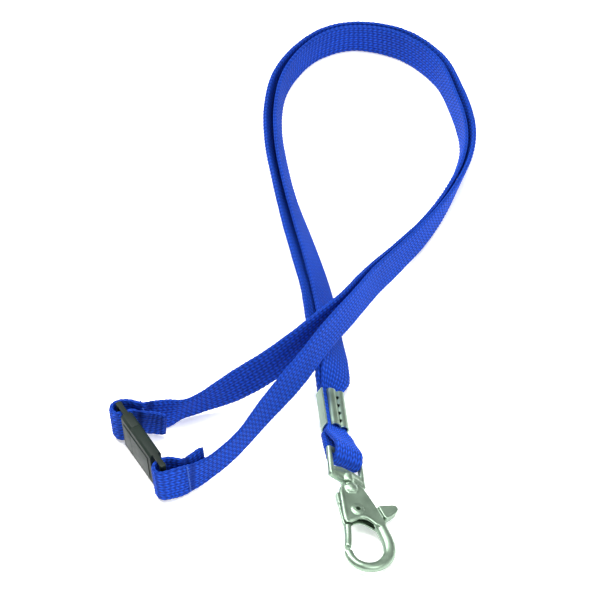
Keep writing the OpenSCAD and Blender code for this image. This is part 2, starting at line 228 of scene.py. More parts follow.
def eye_frame():
    return placed(HOOK_POINT, turned("Z", EYE_TURN), turned("X", HOOK_PITCH), turned("Y", EYE_ROLL))


def clasp_frame():
    return placed(CLASP_AT, turned("Z", CLASP_TURN), turned("Y", CLASP_LEAN))


def crimp_frame():
    return placed(CRIMP_MID, turned("Z", CRIMP_TURN), turned("Y", CRIMP_ROLL))


def unit(v):
    return v / np.linalg.norm(v, axis=-1, keepdims=True)


def smooth_line(points, steps):
    """Catmull-Rom through the points, with the ends doubled."""
    p = np.array(points, float)
    p = np.vstack([p[:1], p, p[-1:]])
    rows = []
    for i in range(1, len(p) - 2):
        a, b, c, d = p[i - 1: i + 3]
        u = (np.arange(steps) / steps)[:, None]
        rows.append(0.5 * (2 * b + (c - a) * u + (2 * a - 5 * b + 4 * c - d) * u ** 2
                           + (3 * b - a - 3 * c + d) * u ** 3))
    rows.append(p[-2:-1])
    return np.vstack(rows)


def arc_lengths(p):
    return np.concatenate([[0.0], np.cumsum(np.linalg.norm(np.diff(p, axis=0), axis=1))])


def resample(p, step):
    """Rows at an even distance along the first three columns."""
    s = arc_lengths(p[:, :3])
    count = int(round(s[-1] / step))
    at = np.linspace(0, s[-1], count + 1)
    return np.stack([np.interp(at, s, p[:, k]) for k in range(p.shape[1])], axis=1), at


def softened(rows, around, before, after, passes):
    """Averages neighbouring rows near one row, fading out on either side."""
    index = np.arange(len(rows)) - around
    weight = np.clip(1 - np.where(index < 0, -index / before, index / after), 0, 1)[:, None]
    for _ in range(passes):
        mean = rows.copy()
        mean[1:-1] = (rows[:-2] + 2 * rows[1:-1] + rows[2:]) / 4
        rows = rows + (mean - rows) * weight
    return rows


# ---- mesh helpers ----
def select_only(obj):
    """Makes one object the only selected and the active one."""
    bpy.ops.object.select_all(action="DESELECT")
    obj.select_set(True)
    bpy.context.view_layer.objects.active = obj


def new_piece(name, verts, faces):
    mesh = bpy.data.meshes.new(name)
    mesh.from_pydata([tuple(v) for v in verts], [], faces)
    mesh.update()
    obj = bpy.data.objects.new(name, mesh)
    bpy.context.scene.collection.objects.link(obj)
    return obj


def recalculated(obj):
    """Turns all faces outwards."""
    work = bmesh.new()
    work.from_mesh(obj.data)
    bmesh.ops.recalc_face_normals(work, faces=work.faces)
    work.to_mesh(obj.data)
    work.free()


def skinned(name, verts, sides):
    """A closed skin over rings of points, with a cap at both ends."""
    rings = len(verts) // sides
    i, k = np.meshgrid(np.arange(rings - 1), np.arange(sides), indexing="ij")
    after = (k + 1) % sides
    quads = np.stack([i * sides + k, i * sides + after, (i + 1) * sides + after, (i + 1) * sides + k], axis=-1)
    last = (rings - 1) * sides
    caps = [list(range(sides))[::-1], list(range(last, last + sides))]
    obj = new_piece(name, verts, quads.reshape(-1, 4).tolist() + caps)
    recalculated(obj)
    return obj


def apply_all(obj):
    select_only(obj)
    for modifier in list(obj.modifiers):
        bpy.ops.object.modifier_apply(modifier=modifier.name)


def joined(name, parts):
    bpy.ops.object.select_all(action="DESELECT")
    for part in parts:
        part.select_set(True)
    bpy.context.view_layer.objects.active = parts[0]
    if len(parts) > 1:
        bpy.ops.object.join()
    obj = bpy.context.view_layer.objects.active
    obj.name = name
    obj.data.name = name
    return obj


def settle(obj, matrix):
    """Puts the mesh in its place and leaves the object at the origin."""
    obj.data.transform(matrix)
    obj.matrix_world = Matrix.Identity(4)
    obj.data.update()
    return obj


def shade_by_angle(obj, degrees):
    select_only(obj)
    bpy.ops.object.shade_smooth_by_angle(angle=math.radians(degrees))


def rod(points, radii, sides=20, flat=1.0, up=(0, 0, 1)):
    """A closed rod through points with a radius at each; flat scales it towards up."""
    p = np.array(points, float)
    r = np.array(radii, float)
    up = np.array(up, float)
    ahead = unit(np.gradient(p, axis=0))
    side = unit(np.cross(ahead, up))
    top = np.cross(side, ahead)
    angle = np.arange(sides) / sides * 2 * math.pi
    rings = (p[:, None] + side[:, None] * (r[:, None, None] * np.cos(angle)[None, :, None])
             + top[:, None] * (r[:, None, None] * flat * np.sin(angle)[None, :, None]))
    return skinned("rod", rings.reshape(-1, 3), sides)


def plate(outline, low, high):
    """A flat plate with the outline, from one height to another."""
    n = len(outline)
    verts = [(x, y, low) for x, y in outline] + [(x, y, high) for x, y in outline]
    faces = [tuple(range(n)), tuple(range(n, 2 * n))]
    faces += [(k, (k + 1) % n, n + (k + 1) % n, n + k) for k in range(n)]
    obj = new_piece("plate", verts, faces)
    recalculated(obj)
    return obj


def lathe(profile, axis_from, axis, sides=40):
    """Turns (radius, distance) pairs about an axis; both ends are closed."""
    axis = np.array(axis, float)
    helper = np.array((1.0, 0, 0)) if abs(axis[0]) < 0.9 else np.array((0, 1.0, 0))
    side = unit(np.cross(axis, helper))
    other = np.cross(axis, side)
    angle = np.arange(sides) / sides * 2 * math.pi
    verts = [np.array(axis_from) + axis * d + (side * math.cos(a) + other * math.sin(a)) * r
             for r, d in profile for a in angle]
    return skinned("lathe", verts, sides)


def cut(obj, tool):
    modifier = obj.modifiers.new("cut", "BOOLEAN")
    modifier.operation = "DIFFERENCE"
    modifier.solver = "EXACT"
    modifier.object = tool
    apply_all(obj)
    bpy.data.objects.remove(tool)


def cast(obj, voxel, smoothing):
    """Melts the joined shapes into one casting and rounds its edges."""
    melt = obj.modifiers.new("melt", "REMESH")
    melt.mode = "VOXEL"
    melt.voxel_size = voxel
    if smoothing:
        soft = obj.modifiers.new("soft", "SMOOTH")
        soft.factor = 0.5
        soft.iterations = smoothing
    apply_all(obj)


# ---- materials ----
PAINTED_DENT_SHADE = (0.006, 0.008, 0.007, 1.0)
FUZZ_BLUE = (0.10, 0.24, 0.95, 1.0)
SHEEN_BLUE = (0.1, 0.35, 1.0, 1.0)
STEEL_DARK, STEEL_LIGHT = (0.30, 0.31, 0.30, 1.0), (0.55, 0.56, 0.54, 1.0)


class Value:
    """A shader socket that takes part in Python arithmetic."""

    def __init__(self, nodes, socket):
        self.nodes, self.socket = nodes, socket

    def _with(self, operation, first, second=0.0):
        return self.nodes.add("ShaderNodeMath", {"operation": operation}, [first, second])

    def __add__(self, other):
        return self._with("ADD", self, other)

    def __radd__(self, other):
        return self._with("ADD", other, self)

    def __sub__(self, other):
        return self._with("SUBTRACT", self, other)

    def __rsub__(self, other):
        return self._with("SUBTRACT", other, self)

    def __mul__(self, other):
        return self._with("MULTIPLY", self, other)

    def __rmul__(self, other):
        return self._with("MULTIPLY", other, self)

    def __truediv__(self, other):
        return self._with("DIVIDE", self, other)

    def __pow__(self, other):
        return self._with("POWER", self, other)

    def clamped(self):
        return self._with("MINIMUM", self._with("MAXIMUM", self, 0.0), 1.0)

    def sine(self):
        return self._with("SINE", self)

    def fraction(self):
        return self._with("FRACT", self)

    def size(self):
        return self._with("ABSOLUTE", self)


class Finish:
    """One material and its nodes."""

    def __init__(self, name):
        self.material = bpy.data.materials.new(name)
        self.material.use_nodes = True
        self.tree = self.material.node_tree
        self.shader = self.tree.nodes["Principled BSDF"]

    def add(self, kind, settings, inputs, output=0):
        node = self.tree.nodes.new(kind)
        for key, value in settings.items():
            if key == "stops":
                self._stops(node.color_ramp, value)
            else:
                setattr(node, key, value)
        pairs = inputs.items() if isinstance(inputs, dict) else enumerate(inputs)
        for key, value in pairs:
            self._feed(node.inputs[key], value)
        return Value(self, node.outputs[output])

    def _stops(self, ramp, stops):
        while len(ramp.elements) < len(stops):
            ramp.elements.new(0.5)
        for element, (position, colour) in zip(ramp.elements, stops):
            element.position = position
            element.color = colour

    def _feed(self, socket, value):
        if isinstance(value, Value):
            self.tree.links.new(value.socket, socket)
        else:
            socket.default_value = value

    def blend(self, factor, first, second):
        node = self.tree.nodes.new("ShaderNodeMix")
        node.data_type = "RGBA"
        self._feed(node.inputs[0], factor)
        self._feed(node.inputs[6], first)
        self._feed(node.inputs[7], second)
        return Value(self, node.outputs[2])

    def spot(self, kind="Object"):
        return self.add("ShaderNodeTexCoord", {}, [], kind)

    def split(self, vector):
        node = self.tree.nodes.new("ShaderNodeSeparateXYZ")
        self._feed(node.inputs[0], vector)
        return [Value(self, out) for out in node.outputs]

    def noise(self, vector, scale, detail=3.0, rough=0.55):
        return self.add("ShaderNodeTexNoise", {}, {
            "Vector": vector, "Scale": scale, "Detail": detail, "Roughness": rough})

    def attribute(self, name):
        return self.add("ShaderNodeAttribute", {"attribute_name": name}, [], "Fac")

    def bump(self, height, strength, distance, below=None):
        inputs = {"Height": height, "Strength": strength, "Distance": distance}
        if below is not None:
            inputs["Normal"] = below
        return self.add("ShaderNodeBump", {}, inputs)

    def surface(self, **sockets):
        for name, value in sockets.items():
            self._feed(self.shader.inputs[name.replace("_", " ")], value)
        return self.material


def rgba(colour, gain=1.0):
    """A colour with full alpha, brightened by the gain."""
    return (*[c * gain for c in colour], 1.0)


def strap_finish(settings):
    """Knitted polyester: V stitches in ribs, with fine filaments on each leg."""
    f = Finish("knit")
    along, across, _ = f.split(f.spot("UV"))
    rib = (across * settings.rib_count).fraction()
    leg = (rib - 0.5).size() * 2.0
    phase = along / (settings.stitch / MM) - leg * 0.55
    loop = (phase * (2 * math.pi)).sine() * 0.5 + 0.5
    crown = 1.0 - ((leg - 0.5) * 2.0).size() ** 2.2
    filament = ((along * 9.0 + leg * 10.0) * (2 * math.pi)).sine() * 0.5 + 0.5
    yarn = (crown * (0.35 + 0.65 * loop)).clamped()
    # Painted shade: this mask darkens the sewn grooves, and the sealed end, towards the painted shade blue.
    pinch = f.attribute("pinch")
    place = f.spot()
    drift = f.noise(place, 90.0, 2.0)
    fuzz = f.noise(place, 4200.0, 2.0, 0.7)
    # Painted shade: the yarn pattern puts the painted shade blue in the valleys between the yarns and the yarn
    # blue on the crests.
    lit = ((yarn - 0.16) * 1.22 + 0.10 * filament).clamped()
    tone = f.blend((lit * (1.0 - pinch * 0.95)).clamped(), rgba(settings.painted_shade_blue), rgba(settings.blue))
    tone = f.blend((drift * 0.22).clamped(), tone, rgba(settings.blue, 1.35))
    tone = f.blend((fuzz * 0.06).clamped(), tone, FUZZ_BLUE)
    rough = 0.62 - 0.10 * yarn + 0.12 * drift
    height = yarn * 0.8 + filament * 0.14 + fuzz * 0.12
    return f.surface(
        Base_Color=tone, Roughness=rough, Normal=f.bump(height, 0.9, 0.0003),
        Sheen_Weight=0.05, Sheen_Roughness=0.45, Sheen_Tint=SHEEN_BLUE,
        Specular_IOR_Level=0.08)


def thread_finish(settings):
    """Twisted sewing thread, darker than the strap; its dark tone also carries painted shade of the sewn groove.
    """
    f = Finish("thread")
    along, across, _ = f.split(f.spot("UV"))
    ply = ((along * 14.0 + across * 3.0) * (2 * math.pi)).sine() * 0.5 + 0.5
    drift = f.noise(f.spot(), 900.0)
    tone = f.blend((0.25 + 0.6 * ply * drift).clamped(), rgba(settings.painted_shade_blue, 0.3), rgba(settings.blue, 0.2))
    return f.surface(Base_Color=tone, Roughness=0.7 + 0.15 * drift, Normal=f.bump(ply, 0.6, 0.0001),
                     Specular_IOR_Level=0.05)


def nickel_finish(settings):
    """Barrelled satin plating: cloudy, with a fine grain, duller hollows darkened with painted shade, and punch
    marks blackened with painted shade.
    """
    f = Finish("satin_nickel")
    place = f.spot()
    cloud = f.noise(place, 260.0, 4.0, 0.6)
    grain = f.noise(place, 6500.0, 3.0, 0.7)
    hollow = f.add("ShaderNodeNewGeometry", {}, [], "Pointiness")
    # Painted shade: the hollows, low in pointiness, take the painted hollow shade colour; the ridges keep the
    # nickel colour and are a little smoother.
    ridge_vs_hollow_shade = ((hollow - 0.46) * 9.0).clamped()
    tone = f.blend((0.30 + 0.55 * ridge_vs_hollow_shade + 0.35 * (cloud - 0.5)).clamped(),
                   rgba(settings.painted_hollow_shade), rgba(settings.nickel))
    # Painted shade: the punched dents are blackened.
    dent = (f.attribute("dent") * 1.4).clamped()
    tone = f.blend(dent, tone, PAINTED_DENT_SHADE)
    rough = (0.45 - 0.08 * ridge_vs_hollow_shade + 0.20 * (cloud - 0.5) + 0.08 * (grain - 0.5)).clamped()
    fine = f.bump(grain, 0.12, 0.00005)
    return f.surface(Base_Color=tone, Roughness=rough, Metallic=0.9 + 0.1 * ridge_vs_hollow_shade,
                     Normal=f.bump(cloud, 0.10, 0.0003, fine))


def steel_finish():
    """Drawn spring wire."""
    f = Finish("spring_wire")
    drawn = f.noise(f.spot(), 3000.0, 2.0)
    tone = f.blend(drawn, STEEL_DARK, STEEL_LIGHT)
    return f.surface(Base_Color=tone, Roughness=0.30 + 0.15 * drawn, Metallic=1.0,
                     Normal=f.bump(drawn, 0.1, 0.00003))


def plastic_finish(settings):
    """Moulded acetal: near black with a soft grey-green bloom and a spark-eroded grain."""
    f = Finish("moulded_black")
    place = f.spot()
    bloom = f.noise(place, 140.0, 3.0)
    grain = f.noise(place, 5200.0, 3.0, 0.65)
    edge = f.add("ShaderNodeNewGeometry", {}, [], "Pointiness")
    # Convex edges are lighter and a little smoother.
    convex_edges = ((edge - 0.505) * 14.0).clamped()
    tone = f.blend((0.25 + 0.5 * bloom).clamped(), rgba(settings.plastic, 0.75), rgba(settings.plastic, 1.7))
    tone = f.blend((convex_edges * 0.5).clamped(), tone, rgba(settings.plastic, 3.5))
    rough = 0.42 + 0.16 * bloom + 0.06 * grain - 0.08 * convex_edges
    return f.surface(Base_Color=tone, Roughness=rough, Normal=f.bump(grain, 0.18, 0.00006),
                     Specular_IOR_Level=0.2)


def finish_of(name, maker, *args):
    """The material of that name, made the first time it is asked for."""
    return bpy.data.materials.get(name) or maker(*args)


def dressed(obj, material, slot, body, *nodes):
    """Gives a finished piece its material, body and the frame solids it stands for; the slot argument is not
    used.
    """
    obj.data.materials.clear()
    obj.data.materials.append(material)
    if body:
        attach(obj, body)
    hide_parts(*nodes)
    return obj


# ---- strap ----
STEPS = 24  # rows between two points of a path
FOLD_OPENS = 5  # millimetres past the crimp in which the fold reaches its full width
LIP = 0.2  # rounding of the strap's long edges
# Relief by kind of point: valley, flank, crest, flank, edge. Resting height, stitch beat, lag of the stitch.
KNIT_BASE = np.array([-1.0, 0.0, -0.42, 0.0, -0.2])
KNIT_BEAT = np.array([0.22, 0.42, 0.30, 0.42, 0.35])
KNIT_LAG = np.array([0.0, 0.28, 0.56, 0.28, 0.28])
POINTS_PER_RIB = 4
EDGE_KIND = 4
RINGS_PER_STITCH = 5
JOIN_STEP = 0.25


def layer_thickness(width):
    """A gathered strap is thicker."""
    return STRAP_T + (CRIMPED_T - STRAP_T) * np.clip((STRAP_W - width) / (STRAP_W - CRIMPED_W), 0, 1)


def run_stations(route):
    """Centre, width direction and width of a standing strap run, in layout millimetres."""
    p = smooth_line(route, STEPS)
    flat = unit(np.gradient(p[:, :2], axis=0))
    out = np.stack([-flat[:, 1], flat[:, 0], np.zeros(len(p))], axis=1)
    lean = np.radians(p[:, 3])
    up = np.array((0, 0, 1.0))
    wide = np.cos(lean)[:, None] * up + np.sin(lean)[:, None] * out
    height = p[:, 2] + p[:, 4] / 2 * np.cos(lean) + layer_thickness(p[:, 4]) / 2 * np.sin(np.abs(lean))
    centre = np.stack([p[:, 0], p[:, 1], height], axis=1)
    return np.hstack([centre, wide, p[:, 4:]])


def ramp(value, start, span):
    """0 up to the start, then rising to 1 over the span."""
    return min(max((value - start) / span, 0), 1)


def loop_stations(path, sag=0.0, slump=0.0):
    """The sewn loop at a clasp bar, in the layout: millimetres of sag away from the bar, degrees of slump."""
    p = smooth_line(path, STEPS)
    m = Matrix.Scale(1 / MM, 4) @ clasp_frame()
    free = np.arange(len(p)) > len(p) * FREE_SHARE
    rows = []
    for (x, y), loose in zip(p.tolist(), free.tolist()):
        lean = math.radians(slump) * ramp(x, 2.5, 3) * loose
        up = Vector((0, -math.sin(lean), math.cos(lean)))
        foot = Vector((x, y, (CLASP_H - LOOP_W) / 2 - sag * ramp(x, 5, 10)))
        rows.append([*(m @ (foot + up * LOOP_W / 2) - SHIFT), *(m.to_3x3() @ up), LOOP_W])
    return np.array(rows)


def fold_stations():
    """The strap that folds through the swivel eye, twisting from the crimp to the bar."""
    p = smooth_line(HOOK_FOLD, STEPS)
    bar = Matrix.Scale(1 / MM, 4) @ eye_frame() @ Vector((0, BAR_BACK, 0)) - SHIFT
    ahead = (bar - FOLD_FROM).normalized()
    beyond = (HOOK_POINT - bar).normalized()
    t = math.radians(CRIMP_TURN)
    start = Vector((math.sin(t), -math.cos(t), 0))
    t = math.radians(EYE_TURN)
    right = Vector((math.cos(t), math.sin(t), 0))
    rows = []
    for s, off in p.tolist():
        share = ramp(s, 0, FOLD_REACH)
        lean = math.radians(90 - CRIMP_ROLL + (FOLD_LEAN - 90 + CRIMP_ROLL) * share)
        opened = min(max(s, 0) / FOLD_OPENS, 1)
        early = start.lerp(ahead, opened).normalized()
        d = early.lerp(beyond, ramp(s - FOLD_REACH + 1.5, 0, 3)).normalized()
        n = d.cross(math.cos(lean) * right.cross(d) + math.sin(lean) * right).normalized()
        w = n.cross(d).normalized()
        c = FOLD_FROM + s * ahead if s < FOLD_REACH else bar + (s - FOLD_REACH) * beyond
        gained = opened * opened * (3 - 2 * opened)
        rows.append([*(c + off * n), *w, CRIMPED_W + (FOLD_W - CRIMPED_W) * gained])
    return np.array(rows)


def strap_section(ribs):
    """One face from edge to edge, a rounded edge, the other face back, a rounded edge.

    Columns: place across, side, outward normal across and through, kind of point, V coordinate.
    """
    per_face = POINTS_PER_RIB * ribs
    rows = []
    for face in (1, -1):
        for k in range(per_face + 1)[::face]:
            x = k / per_face - 0.5
            rows.append((x * (1 - 2 * LIP / STRAP_W), face * (1 - 0.06 * (2 * abs(x)) ** 8), 0, face,
                         k % POINTS_PER_RIB, k / per_face))
        for height in (0.66, 0.0, -0.66):
            rows.append((face * 0.5, height * face, face, 0, EDGE_KIND, 0.5 + face * (0.62 - 0.12 * abs(height))))
    return np.array(rows, float).T


def bell(distance, spread):
    return np.exp(-(distance / spread) ** 2)


def band_depth(at, bands, sealed):
    """Depth share of the sewn bands and of a sealed end's melted edge."""
    depth = np.zeros(len(at))
    for where, spread, share in bands:
        depth = np.maximum(depth, share * bell(at - where, spread))
    if sealed:
        depth = np.maximum(depth, 0.55 * bell(at[-1] - at - 0.3, 0.35))
    return depth


def strap_piece(name, rows, settings, bands=(), sealed=True):
    """Sweeps the knitted section along the stations, some rings to each stitch."""
    stitch, relief = settings.stitch / MM, settings.relief / MM
    rows, at = resample(rows, stitch / RINGS_PER_STITCH)
    centre = rows[:, :3]
    ahead = unit(np.gradient(centre, axis=0))
    wide = unit(rows[:, 3:6] - ahead * np.sum(rows[:, 3:6] * ahead, axis=1, keepdims=True))
    thick = np.cross(ahead, wide)
    across, side, out_wide, out_thick, kind, v_coord = strap_section(settings.rib_count)
    kind = kind.astype(int)
    phase = at[:, None] / stitch - KNIT_LAG[kind]
    lift = relief * (KNIT_BASE[kind] + KNIT_BEAT[kind] * np.cos(2 * math.pi * phase))
    width = rows[:, 6] * (1 + 0.008 * np.sin(at * 0.37) + 0.006 * np.sin(at * 0.93 + 1.3))
    half = layer_thickness(rows[:, 6]) / 2
    if sealed:
        width = width * (1 - 0.14 * bell(at[-1] - at, 1.3))
        half = half * (1 - 0.45 * bell(at[-1] - at, 0.5))
    depth = band_depth(at, bands, sealed)
    half = half * (1 - 0.35 * depth)
    verts = (centre[:, None]
             + wide[:, None] * (width[:, None] * across + lift * out_wide)[..., None]
             + thick[:, None] * (half[:, None] * side + lift * out_thick)[..., None])
    sides = len(across)
    obj = skinned(name, (verts.reshape(-1, 3) + np.array(SHIFT)) * MM, sides)
    mesh = obj.data
    corner = np.zeros(len(mesh.loops), int)
    mesh.loops.foreach_get("vertex_index", corner)
    uv = mesh.uv_layers.new(name="UVMap")
    uv.data.foreach_set("uv", np.stack([at[corner // sides], v_coord[corner % sides]], axis=1).ravel())
    # Stored for the material: painted shade in the sewn grooves, and a darker sealed end.
    mark = mesh.attributes.new("pinch", "FLOAT", "POINT")
    mark.data.foreach_set("value", np.repeat(depth, sides))
    mesh.polygons.foreach_set("use_smooth", np.ones(len(mesh.polygons), bool))
    return obj, centre


def joined_stations(run, loop):
    """Run and loop as one line, softened where they meet, and the distance of that place."""
    rows, at = resample(np.vstack([run, loop]), JOIN_STEP)
    near = int(round(arc_lengths(run[:, :3])[-1] / JOIN_STEP))
    return softened(rows, near, 80, 24, 160), at[near]


def placed_bands(bands, join):
    return [(join + past, spread, share) for past, spread, share in bands]


class LANYARD_OT_strap_runs(bpy.types.Operator):
    """Sweeps both strap runs from the crimp round the loop to their sewn ends"""

    bl_idname = "lanyard.strap_runs"
    bl_label = "Strap runs"

    def execute(self, context):
        s = context.scene.lanyard_strap
        knit = finish_of("knit", strap_finish, s)
        rows, join = joined_stations(run_stations(OUTER_ROUTE), loop_stations(NEAR_FOLD))
        outer, line = strap_piece("outer_strap", rows, s, placed_bands(NEAR_BANDS, join))
        dressed(outer, knit, "strap", "lanyard", "outer_run", "near_strap_end")
        rows, join = joined_stations(run_stations(INNER_ROUTE), loop_stations(FAR_FOLD, FAR_SAG, FAR_SLUMP))
        inner, line = strap_piece("inner_strap", rows, s, placed_bands(FAR_BANDS, join))
        dressed(inner, knit, "strap", None, "inner_run", "far_strap_end")
        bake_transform(inner)
        return {"FINISHED"}


class LANYARD_OT_hook_fold(bpy.types.Operator):
    """Sweeps the short loop of strap that holds the swivel eye"""

    bl_idname = "lanyard.hook_fold"
    bl_label = "Strap through the eye"

    def execute(self, context):
        s = context.scene.lanyard_strap
        fold, _ = strap_piece("fold_strap", fold_stations(), s, sealed=False)
        dressed(fold, finish_of("knit", strap_finish, s), "strap", "lanyard", "hook_fold_strap")
        return {"FINISHED"}


def thread_row(place, turn, count=7):
    """Short thread stitches with their ends tucked into the strap, in the clasp's frame."""
    parts = []
    for k in range(count):
        z = 1.9 + 1.6 * k
        line = [(-0.18, 0.0, -0.62), (0.0, 0.16, -0.45), (0.03, 0.22, 0.0), (0.0, 0.16, 0.45), (0.18, 0.0, 0.62)]
        bead = rod(line, [0.16, 0.2, 0.21, 0.2, 0.16], sides=8, up=(1, 0, 0))
        bead.data.transform(Matrix.Translation((place[0], place[1], z)) @ turned("Z", turn))
        parts.append(bead)
    return joined("stitches", parts)


class LANYARD_OT_stitching(bpy.types.Operator):
    """Sews the thread rows that close both strap ends"""

    bl_idname = "lanyard.stitching"
    bl_label = "Stitching"

    def execute(self, context):
        thread = finish_of("thread", thread_finish, context.scene.lanyard_strap)
        for name, body, node, rows in (
            ("near_threads", "lanyard", "near_stitching", [((6.3, -3.8), 186), ((6.55, -0.3), -20)]),
            ("far_threads", "clasp_male_half", "far_stitching", [((5.8, 25.3), 165), ((6.4, 28.35), -30)]),
        ):
            obj = joined(name, [thread_row(place, turn) for place, turn in rows])
            settle(obj, clasp_frame())
            mesh = obj.data
            layer = mesh.uv_layers.new(name="UVMap")
            for loop in mesh.loops:
                x, y, z = mesh.vertices[loop.vertex_index].co
                layer.data[loop.index].uv = (z / MM, (x + y) / MM)
            shade_by_angle(obj, 60)
            dressed(obj, thread, "thread", body, node)
        return {"FINISHED"}


# ---- crimp ----
CRIMP_EDGE = CRIMP_W / 2 - CRIMP_SHEET
CRIMP_HALF = CRIMPED_T + 0.15
CRIMP_HUMP = CRIMP_HALF + 0.7
DENT_COUNT, DENT_PITCH, DENT_DEPTH = 4, 3.4, 0.75
DENT_X, DENT_R = 0.97, 0.55  # in the groove between the humps


def crimp_dent(x, y, z):
    """Depth share of the punch marks in the groove, each a little longer than wide."""
    if z < 0:
        return 0.0
    rows = [(k - (DENT_COUNT - 1) / 2) * DENT_PITCH for k in range(DENT_COUNT)]
    return max(math.exp(-(math.hypot(x - DENT_X, (y - row) * 0.75) / DENT_R) ** 4) for row in rows)


class LANYARD_OT_crimp(bpy.types.Operator):
    """Folds the sheet crimp with its two humps, lapped slit and punched dents"""

    bl_idname = "lanyard.crimp"
    bl_label = "Crimp"

    def execute(self, context):
        s = context.scene.lanyard_hardware
        e, h, top = CRIMP_EDGE, CRIMP_HALF, CRIMP_HUMP
        path = [
            (0.05 - e, h + 0.1), (-e, h - 0.3), (-e - 0.08, 0), (-e, 0.5 - h), (0.5 - e, -h),
            (-2, -h - 0.03), (0, -h - 0.04), (2, -h - 0.03), (e - 0.5, -h), (e, 0.5 - h), (e + 0.1, 0),
            (e + 0.04, h - 0.1), (e - 0.25, top - 0.25), (e - 0.7, top), (2.3, top + 0.04), (1.8, top - 0.12),
            (1.45, h + 0.25), (1.15, h), (0.8, h), (0.5, h + 0.25), (0.1, top - 0.12), (-0.35, top + 0.03),
            (-1.0, top + 0.03), (-1.45, top - 0.15), (-1.7, h + 0.2), (-1.75, h + 0.02),
        ]
        line = smooth_line(path, 5)
        cells = 120
        verts = []
        for j in range(cells + 1):
            y = CRIMP_LEN * (0.5 - j / cells)
            for x, z in line:
                dent = crimp_dent(x, y, z)
                flare = 0.16 * math.exp(-((abs(y) - CRIMP_LEN / 2) / 0.7) ** 2)
                verts.append((x * (1 + flare / 12), y, z * (1 + flare / 3) - DENT_DEPTH * dent))
        n = len(line)
        faces = [(j * n + k, j * n + k + 1, (j + 1) * n + k + 1, (j + 1) * n + k)
                 for j in range(cells) for k in range(n - 1)]
        obj = new_piece("crimp_sheet", verts, faces)
        thick = obj.modifiers.new("sheet", "SOLIDIFY")
        thick.thickness = CRIMP_SHEET
        thick.offset = 1.0
        thick.use_even_offset = True
        apply_all(obj)
        recalculated(obj)
        bevel = obj.modifiers.new("edge", "BEVEL")
        bevel.width = 0.12
        bevel.segments = 3
        bevel.limit_method = "ANGLE"
        bevel.angle_limit = math.radians(50)
        apply_all(obj)
        # Stored for the material, which blackens the dents with painted shade.
        mark = obj.data.attributes.new("dent", "FLOAT", "POINT")
        mark.data.foreach_set("value", [crimp_dent(*v.co) for v in obj.data.vertices])
        settle(obj, crimp_frame())
        shade_by_angle(obj, 40)
        dressed(obj, finish_of("satin_nickel", nickel_finish, s), "nickel", "lanyard", "crimp")
        return {"FINISHED"}


# ---- swivel eye ----
ARM_X = 6.1
SHOULDER_HALF = [(2.6, 4.3), (5.0, 3.6), (6.6, 2.6), (6.9, 0.3), (6.6, -0.1), (4.2, -0.4), (2.6, -0.5)]
SHOULDER_T = 1.7


class LANYARD_OT_eye(bpy.types.Operator):
    """Casts the swivel eye: bar, arms, shoulders and headed neck"""

    bl_idname = "lanyard.eye"
    bl_label = "Swivel eye"

    def execute(self, context):
        s = context.scene.lanyard_hardware
        parts = [rod([(-ARM_X, BAR_BACK, 0), (0, BAR_BACK, 0), (ARM_X, BAR_BACK, 0)], [0.9, 0.88, 0.9], 24)]
        for side in (-1, 1):
            line = smooth_line([(side * ARM_X, y, 0) for y in (BAR_BACK + 0.5, 5, 0.7)], 6)
            parts.append(rod(line, np.linspace(0.84, 1.0, len(line)), 20))
        half = SHOULDER_HALF
        shoulder = [(-x, y) for x, y in half] + half[::-1]
        parts.append(plate(shoulder, -SHOULDER_T / 2, SHOULDER_T / 2))
        parts.append(rod([(-5.6, 1.5, 0), (-2, 1.9, 0), (2, 1.9, 0), (5.6, 1.5, 0)], [1.25, 1.6, 1.6, 1.25],
                         20, flat=0.8))
        parts.append(lathe([(1.5, -0.75), (1.95, -0.5), (2.15, 0.2), (2.2, 1.9), (1.9, 2.7), (1.0, 3.1)],
                           (0, 0, 0), (0, 1, 0)))
        for part in parts:
            settle(part, eye_frame())
        pin = [lathe([(1.1, -2.8), (1.1, 1.0)], (0, 0, 0), (0, 1, 0)),
               lathe([(1.7, -3.7), (1.7, -2.7)], (0, 0, 0), (0, 1, 0))]
        for part in pin:
            settle(part, hook_frame())
        parts += pin
        obj = joined("eye_casting", parts)
        cast(obj, s.voxel, 6)
        shade_by_angle(obj, 60)
        dressed(obj, finish_of("satin_nickel", nickel_finish, s), "nickel", "eye", "swivel_eye")
        return {"FINISHED"}


# ---- hook ----
HOOK_PLATE = [
    (-2.9, -2.3), (2.9, -2.3), (3.9, -3.9), (5.0, -6.9), (6.2, -10.6), (7.4, -15.2), (7.9, -17.4), (5.6, -18.2),
    (3.6, -16.5), (2.2, -15.4), (0.6, -15.0), (-1.4, -15.4), (-2.8, -16.4), (-4.6, -16.6),
    (-4.5, -12), (-3.9, -7.5), (-3.4, -4),
]
HOOK_RING = [
    (5.6, -13.6, 0), (6.3, -16.9, 0), (7.1, -20.8, 0), (7.4, -24.6, 0), (6.5, -28.1, 0), (4.4, -30.7, 0),
    (1.8, -32.3, 0), (-0.9, -32.7, 0), (-3.3, -32.1, 0), (-5.0, -30.8, 0), (-5.9, -28.9, 0), (-6.15, -26.7, 0),
]
RING_RADII = [1.6, 1.8, 1.9, 1.95, 1.85, 1.75, 1.65, 1.58, 1.55, 1.5, 1.45, 1.38]
HOOK_SLOT = [
    (-9, -17.4), (5.6, -17.4), (5.6, -15.2), (11, -15.2), (11, -5), (5.6, -5), (5.6, -4.2), (-9, -4.2),
]
RIVET_AT = (0, -11.9)
SLOT_T = 2.2
HOOK_T = 3.4
COIL_STEPS, COIL_DEGREES, COIL_R, WIRE_R = 60, 560, 1.7, 0.14


